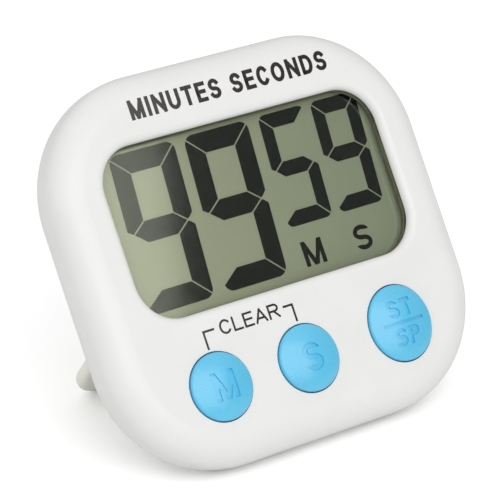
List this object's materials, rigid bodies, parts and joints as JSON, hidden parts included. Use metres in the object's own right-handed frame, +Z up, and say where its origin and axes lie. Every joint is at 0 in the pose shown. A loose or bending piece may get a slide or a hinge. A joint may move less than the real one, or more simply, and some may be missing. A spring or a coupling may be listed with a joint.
{
  "type": "countdown timer",
  "caption": "Battery countdown timer with a large display, round keys and a fold-out stand, which leans back on a bench or clings to steel with magnets.",
  "frame": {"origin": "centre of the timer's box on the surface it stands on", "axes": "+X to the right across the face, +Y backwards away from the face, +Z up; the face leans back by about 33 degrees"},
  "size_m": [0.0816, 0.0486, 0.0663],
  "materials": {
    "white_case": "satin moulded ABS, fine even surface",
    "white_stand": "satin moulded ABS",
    "clear_lens": "clear acrylic, polished",
    "dark_foam": "matt olive closed-cell foam",
    "polariser_film": "thin polarising film",
    "display_glass": "thin display glass",
    "dark_segments": "dark liquid-crystal segments",
    "lcd_background": "grey-green reflective display layer",
    "black_plastic": "matt black moulding",
    "striped_silicone": "silicone with dark conducting stripes",
    "board_green": "solder-masked circuit board",
    "gold_pads": "gold-plated copper",
    "black_resin": "black resin",
    "bright_tin": "nickel-plated",
    "tan_ceramic": "fired ceramic",
    "black_ceramic": "fired ceramic",
    "ferrite": "dark ferrite",
    "grey_silicone": "translucent grey silicone",
    "zinc_steel": "zinc-plated steel",
    "cell_steel": "brushed stainless steel",
    "foam_tape": "white foam tape",
    "buzzer_brass": "rolled brass",
    "white_ceramic": "silvered ceramic",
    "red_insulation": "PVC insulation",
    "black_insulation": "PVC insulation",
    "magnet_nickel": "nickel plate, lightly scuffed",
    "blue_key": "satin moulded plastic",
    "carbon_rubber": "carbon-loaded rubber"
  },
  "bodies": {
    "case": {"front_case": "white_case", "rear_case": "white_case", "display_lens": "clear_lens", "display_gasket": "dark_foam", "display_polariser": "polariser_film", "display_front_glass": "display_glass", "display_segments": "dark_segments", "display_rear_glass": "lcd_background", "display_reflector": "lcd_background", "display_holder": "black_plastic", "zebra_connector": "striped_silicone", "circuit_board": "board_green", "board_pads": "gold_pads", "chip_blob": "black_resin", "quartz_crystal": "bright_tin", "chip_capacitors": "tan_ceramic", "chip_resistors": "black_ceramic", "buzzer_transistor": "black_resin", "boost_coil": "ferrite", "keypad_mat": "grey_silicone", "board_screws": "zinc_steel", "case_screws": "zinc_steel", "battery_cell": "cell_steel", "battery_contact_minus": "bright_tin", "battery_contact_plus": "bright_tin", "buzzer_adhesive_ring": "foam_tape", "buzzer_plate": "buzzer_brass", "buzzer_ceramic": "white_ceramic", "buzzer_lead_ceramic": "red_insulation", "buzzer_lead_plate": "black_insulation", "left_magnet": "magnet_nickel", "right_magnet": "magnet_nickel", "minutes_rubber_dome": "grey_silicone", "seconds_rubber_dome": "grey_silicone", "start_stop_rubber_dome": "grey_silicone"},
    "minutes_key": {"minutes_button": "blue_key", "minutes_plunger": "grey_silicone", "minutes_carbon_pill": "carbon_rubber"},
    "seconds_key": {"seconds_button": "blue_key", "seconds_plunger": "grey_silicone", "seconds_carbon_pill": "carbon_rubber"},
    "start_stop_key": {"start_stop_button": "blue_key", "start_stop_plunger": "grey_silicone", "start_stop_carbon_pill": "carbon_rubber"},
    "stand": {"stand": "white_stand"},
    "battery_door": {"battery_door": "white_case"}
  },
  "joints": [
    {"name": "minutes_press", "type": "slide", "parent": "case", "child": "minutes_key", "axis": [0, 0.8372, -0.547], "range_m": [0, 0.0009], "stiffness_N_per_m": 900, "springref_m": -0.0004, "deforming": ["minutes_rubber_dome"]},
    {"name": "seconds_press", "type": "slide", "parent": "case", "child": "seconds_key", "axis": [0, 0.8372, -0.547], "range_m": [0, 0.0009], "stiffness_N_per_m": 900, "springref_m": -0.0004, "deforming": ["seconds_rubber_dome"]},
    {"name": "start_stop_press", "type": "slide", "parent": "case", "child": "start_stop_key", "axis": [0, 0.8372, -0.547], "range_m": [0, 0.0009], "stiffness_N_per_m": 900, "springref_m": -0.0004, "deforming": ["start_stop_rubber_dome"]},
    {"name": "stand_fold", "type": "hinge", "parent": "case", "child": "stand", "pos_m": [0, 0.00291, 0.02638], "axis": [1, 0, 0], "range_deg": [-71.4, 0]},
    {"name": "battery_door_turn", "type": "hinge", "parent": "case", "child": "battery_door", "pos_m": [0, -0.00317, 0.01661], "axis": [0, -0.8372, 0.547], "range_deg": [0, 40]}
  ]
}
